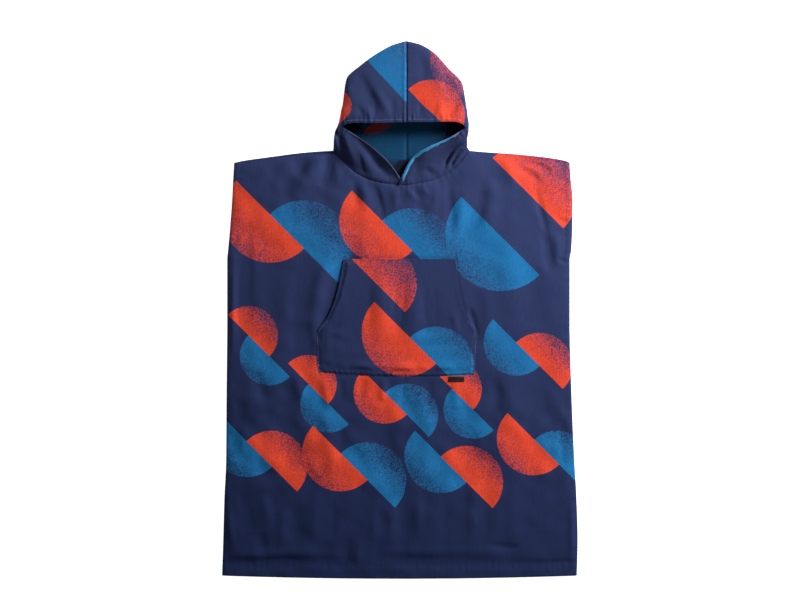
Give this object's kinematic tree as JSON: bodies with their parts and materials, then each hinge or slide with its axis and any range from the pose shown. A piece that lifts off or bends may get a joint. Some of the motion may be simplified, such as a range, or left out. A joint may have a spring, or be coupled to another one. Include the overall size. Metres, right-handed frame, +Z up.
{
  "type": "hooded bath poncho",
  "caption": "Hooded towelling bath poncho laid flat, with open armholes and a kangaroo pocket with slanted hand openings.",
  "frame": {"origin": "on the surface that the garment lies on, under the middle of its whole outline", "axes": "+X across the garment, towards the right of someone who looks down at its front; +Y from the hem to the hood; +Z up from the surface, out of the front"},
  "size_m": [0.799, 1.209, 0.0357],
  "materials": {
    "printed_towelling": "navy microfibre towelling with a printed orange and blue pattern",
    "woven_tag": "black woven tag, bare"
  },
  "bodies": {
    "root": {"back_panel": "printed_towelling", "front_panel": "printed_towelling", "hood_left": "printed_towelling", "hood_right": "printed_towelling", "kangaroo_pocket": "printed_towelling", "pocket_label": "woven_tag"}
  },
  "joints": []
}
